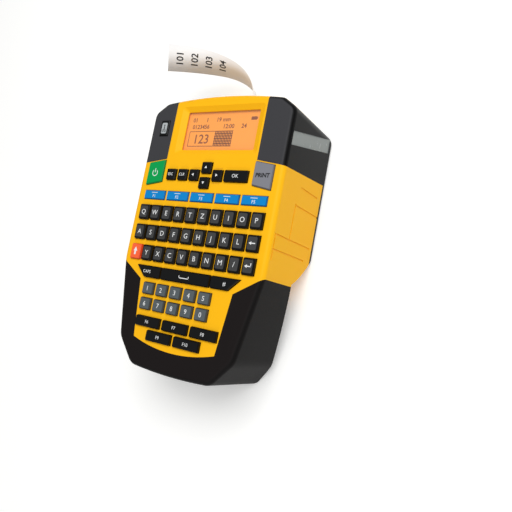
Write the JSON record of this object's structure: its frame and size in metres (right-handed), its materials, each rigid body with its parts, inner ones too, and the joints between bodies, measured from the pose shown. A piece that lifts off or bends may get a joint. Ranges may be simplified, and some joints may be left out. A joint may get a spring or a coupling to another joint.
{
  "type": "handheld label maker",
  "caption": "Handheld label maker with a full keypad, a display, shoulder caps, a soft lower bumper, a tape cassette, a thermal print drive and a push-button cutter.",
  "frame": {"origin": "on the back plane, midway between the two sides and the two ends of the case", "axes": "+X to the right of the keypad, +Y to the end the label leaves by, +Z out of the face with the keys"},
  "size_m": [0.1193, 0.2279, 0.06],
  "materials": {
    "yellow_housing": "fine moulded texture",
    "back_plastic": "fine moulded texture",
    "soft_bumper": "matt",
    "shoulder_plastic": "matt",
    "smoked_window": "smoked",
    "fastener_steel": "zinc plated",
    "clear_lens": "clear",
    "display_glass": "backlit panel",
    "key_black": "matt silicone",
    "key_grey": "matt silicone",
    "key_green": "matt silicone",
    "key_blue": "matt silicone",
    "key_orange": "matt silicone",
    "mat_silicone": "matt",
    "circuit_board": "solder mask",
    "frame_plastic": "moulded",
    "head_aluminium": "plain",
    "platen_rubber": "ground",
    "gear_plastic": "moulded",
    "steel": "plain",
    "cassette_plastic": "moulded",
    "tape_roll": "tape",
    "ribbon": "film",
    "label_tape": "tape",
    "cell_wrap": "sleeve"
  },
  "bodies": {
    "case": {"battery_cells": "cell_wrap", "battery_contacts": "steel", "case_screws": "fastener_steel", "cassette_lid": "cassette_plastic", "cassette_tray": "cassette_plastic", "cassette_window": "smoked_window", "display_lens": "clear_lens", "display_module": "display_glass", "drive_motor": "steel", "front_case": "yellow_housing", "keypad_mat": "mat_silicone", "left_shoulder_cap": "shoulder_plastic", "lower_bumper": "soft_bumper", "main_board": "circuit_board", "mechanism_frame": "frame_plastic", "print_head": "head_aluminium", "rear_case": "back_plastic", "right_shoulder_cap": "shoulder_plastic", "tape_leader": "tape_roll"},
    "power_button": {"power_button": "key_green"},
    "print_button": {"print_button": "key_grey"},
    "escape_key": {"escape_key": "key_black"},
    "clear_key": {"clear_key": "key_black"},
    "arrow_left_key": {"arrow_left_key": "key_black"},
    "arrow_up_key": {"arrow_up_key": "key_black"},
    "arrow_down_key": {"arrow_down_key": "key_black"},
    "arrow_right_key": {"arrow_right_key": "key_black"},
    "ok_key": {"ok_key": "key_black"},
    "hot_key_1": {"hot_key_1": "key_blue"},
    "hot_key_2": {"hot_key_2": "key_blue"},
    "hot_key_3": {"hot_key_3": "key_blue"},
    "hot_key_4": {"hot_key_4": "key_blue"},
    "hot_key_5": {"hot_key_5": "key_blue"},
    "shift_key": {"shift_key": "key_orange"},
    "caps_key": {"caps_key": "key_black"},
    "space_bar": {"space_bar": "key_black"},
    "symbol_key": {"symbol_key": "key_black"},
    "letter_keys_top_row": {"letter_keys_top_row": "key_black"},
    "letter_keys_middle_row": {"letter_keys_middle_row": "key_black"},
    "letter_keys_bottom_row": {"letter_keys_bottom_row": "key_black"},
    "digit_keys_upper_row": {"digit_keys_upper_row": "key_grey"},
    "digit_keys_lower_row": {"digit_keys_lower_row": "key_grey"},
    "function_keys_upper_row": {"function_keys_upper_row": "key_black"},
    "function_keys_lower_row": {"function_keys_lower_row": "key_black"},
    "cut_button": {"cut_button": "key_grey"},
    "cutter_lever": {"cutter_lever": "frame_plastic"},
    "cutter_blade": {"cutter_blade": "steel"},
    "cassette_door": {"cassette_door": "back_plastic"},
    "battery_door": {"battery_door": "back_plastic"},
    "platen": {"platen_gear": "gear_plastic", "platen_roller": "platen_rubber"},
    "motor_rotor": {"motor_pinion": "gear_plastic"},
    "idler_gear": {"idler_gear": "gear_plastic"},
    "transfer_gear": {"transfer_gear": "gear_plastic"},
    "ribbon_takeup": {"takeup_spindle": "gear_plastic", "ribbon_takeup_spool": "ribbon"},
    "tape_spool": {"tape_spool": "tape_roll"},
    "ribbon_supply": {"ribbon_supply_spool": "ribbon"},
    "printed_label": {"printed_label": "label_tape"}
  },
  "joints": [
    {"name": "power_button_press", "type": "slide", "parent": "case", "child": "power_button", "axis": [0, 0, -1], "range_m": [0, 0.001], "stiffness_N_per_m": 400},
    {"name": "print_button_press", "type": "slide", "parent": "case", "child": "print_button", "axis": [0, 0, -1], "range_m": [0, 0.001], "stiffness_N_per_m": 400},
    {"name": "escape_key_press", "type": "slide", "parent": "case", "child": "escape_key", "axis": [0, 0, -1], "range_m": [0, 0.001], "stiffness_N_per_m": 400},
    {"name": "clear_key_press", "type": "slide", "parent": "case", "child": "clear_key", "axis": [0, 0, -1], "range_m": [0, 0.001], "stiffness_N_per_m": 400},
    {"name": "arrow_left_key_press", "type": "slide", "parent": "case", "child": "arrow_left_key", "axis": [0, 0, -1], "range_m": [0, 0.001], "stiffness_N_per_m": 400},
    {"name": "arrow_up_key_press", "type": "slide", "parent": "case", "child": "arrow_up_key", "axis": [0, 0, -1], "range_m": [0, 0.001], "stiffness_N_per_m": 400},
    {"name": "arrow_down_key_press", "type": "slide", "parent": "case", "child": "arrow_down_key", "axis": [0, 0, -1], "range_m": [0, 0.001], "stiffness_N_per_m": 400},
    {"name": "arrow_right_key_press", "type": "slide", "parent": "case", "child": "arrow_right_key", "axis": [0, 0, -1], "range_m": [0, 0.001], "stiffness_N_per_m": 400},
    {"name": "ok_key_press", "type": "slide", "parent": "case", "child": "ok_key", "axis": [0, 0, -1], "range_m": [0, 0.001], "stiffness_N_per_m": 400},
    {"name": "hot_key_1_press", "type": "slide", "parent": "case", "child": "hot_key_1", "axis": [0, 0, -1], "range_m": [0, 0.001], "stiffness_N_per_m": 400},
    {"name": "hot_key_2_press", "type": "slide", "parent": "case", "child": "hot_key_2", "axis": [0, 0, -1], "range_m": [0, 0.001], "stiffness_N_per_m": 400},
    {"name": "hot_key_3_press", "type": "slide", "parent": "case", "child": "hot_key_3", "axis": [0, 0, -1], "range_m": [0, 0.001], "stiffness_N_per_m": 400},
    {"name": "hot_key_4_press", "type": "slide", "parent": "case", "child": "hot_key_4", "axis": [0, 0, -1], "range_m": [0, 0.001], "stiffness_N_per_m": 400},
    {"name": "hot_key_5_press", "type": "slide", "parent": "case", "child": "hot_key_5", "axis": [0, 0, -1], "range_m": [0, 0.001], "stiffness_N_per_m": 400},
    {"name": "shift_key_press", "type": "slide", "parent": "case", "child": "shift_key", "axis": [0, 0, -1], "range_m": [0, 0.001], "stiffness_N_per_m": 400},
    {"name": "caps_key_press", "type": "slide", "parent": "case", "child": "caps_key", "axis": [0, 0, -1], "range_m": [0, 0.001], "stiffness_N_per_m": 400},
    {"name": "space_bar_press", "type": "slide", "parent": "case", "child": "space_bar", "axis": [0, 0, -1], "range_m": [0, 0.001], "stiffness_N_per_m": 400},
    {"name": "symbol_key_press", "type": "slide", "parent": "case", "child": "symbol_key", "axis": [0, 0, -1], "range_m": [0, 0.001], "stiffness_N_per_m": 400},
    {"name": "letter_keys_top_row_press", "type": "slide", "parent": "case", "child": "letter_keys_top_row", "axis": [0, 0, -1], "range_m": [0, 0.001], "stiffness_N_per_m": 2000},
    {"name": "letter_keys_middle_row_press", "type": "slide", "parent": "case", "child": "letter_keys_middle_row", "axis": [0, 0, -1], "range_m": [0, 0.001], "stiffness_N_per_m": 2000},
    {"name": "letter_keys_bottom_row_press", "type": "slide", "parent": "case", "child": "letter_keys_bottom_row", "axis": [0, 0, -1], "range_m": [0, 0.001], "stiffness_N_per_m": 2000},
    {"name": "digit_keys_upper_row_press", "type": "slide", "parent": "case", "child": "digit_keys_upper_row", "axis": [0, 0, -1], "range_m": [0, 0.001], "stiffness_N_per_m": 2000},
    {"name": "digit_keys_lower_row_press", "type": "slide", "parent": "case", "child": "digit_keys_lower_row", "axis": [0, 0, -1], "range_m": [0, 0.001], "stiffness_N_per_m": 2000},
    {"name": "function_keys_upper_row_press", "type": "slide", "parent": "case", "child": "function_keys_upper_row", "axis": [0, 0, -1], "range_m": [0, 0.001], "stiffness_N_per_m": 2000},
    {"name": "function_keys_lower_row_press", "type": "slide", "parent": "case", "child": "function_keys_lower_row", "axis": [0, 0, -1], "range_m": [0, 0.001], "stiffness_N_per_m": 2000},
    {"name": "cut_button_press", "type": "slide", "parent": "case", "child": "cut_button", "axis": [0, 0, -1], "range_m": [0, 0.0035], "stiffness_N_per_m": 900},
    {"name": "cutter_lever_swing", "type": "hinge", "parent": "case", "child": "cutter_lever", "pos_m": [-0.024, 0.0695, 0.045], "axis": [0, -1, 0], "range_deg": [0, 10.73]},
    {"name": "cutter_blade_slide", "type": "slide", "parent": "case", "child": "cutter_blade", "axis": [1, 0, 0], "range_m": [0, 0.00305]},
    {"name": "cassette_door_swing", "type": "hinge", "parent": "case", "child": "cassette_door", "pos_m": [0, 0.0099, 0.0019], "axis": [-1, 0, 0], "range_deg": [0, 95]},
    {"name": "battery_door_swing", "type": "hinge", "parent": "case", "child": "battery_door", "pos_m": [0, -0.0716, 0.0019], "axis": [-1, 0, 0], "range_deg": [0, 95]},
    {"name": "platen_turn", "type": "hinge", "parent": "case", "child": "platen", "pos_m": [0.0063, 0.07, 0.0425], "axis": [0, 0, 1], "continuous": true},
    {"name": "motor_turn", "type": "hinge", "parent": "case", "child": "motor_rotor", "pos_m": [0.04, 0.07, 0.0425], "axis": [0, 0, 1], "continuous": true},
    {"name": "idler_turn", "type": "hinge", "parent": "case", "child": "idler_gear", "pos_m": [0.02471, 0.06529, 0.0425], "axis": [0, 0, 1], "continuous": true},
    {"name": "transfer_turn", "type": "hinge", "parent": "case", "child": "transfer_gear", "pos_m": [0.00844, 0.0471, 0.0425], "axis": [0, 0, 1], "continuous": true},
    {"name": "ribbon_takeup_turn", "type": "hinge", "parent": "case", "child": "ribbon_takeup", "pos_m": [0.018, 0.024, 0.0425], "axis": [0, 0, 1], "continuous": true},
    {"name": "tape_spool_turn", "type": "hinge", "parent": "case", "child": "tape_spool", "pos_m": [-0.011, 0.034, 0.018], "axis": [0, 0, 1], "continuous": true},
    {"name": "ribbon_supply_turn", "type": "hinge", "parent": "case", "child": "ribbon_supply", "pos_m": [0.019, 0.047, 0.018], "axis": [0, 0, 1], "continuous": true},
    {"name": "label_pull", "type": "slide", "parent": "case", "child": "printed_label", "axis": [0, 1, 0], "range_m": [0, 0.03]}
  ],
  "couplings": [
    {"joint": "motor_turn", "follows": "platen_turn", "ratio": 1.4286},
    {"joint": "idler_turn", "follows": "platen_turn", "ratio": -1.1111},
    {"joint": "transfer_turn", "follows": "platen_turn", "ratio": -0.76923},
    {"joint": "ribbon_takeup_turn", "follows": "platen_turn", "ratio": 0.83333},
    {"joint": "ribbon_supply_turn", "follows": "platen_turn", "ratio": 0.72917},
    {"joint": "tape_spool_turn", "follows": "platen_turn", "ratio": 0.29412},
    {"joint": "cutter_lever_swing", "follows": "cut_button_press", "rad_per_m": 51.02},
    {"joint": "cutter_blade_slide", "follows": "cut_button_press", "ratio": 0.84184}
  ]
}
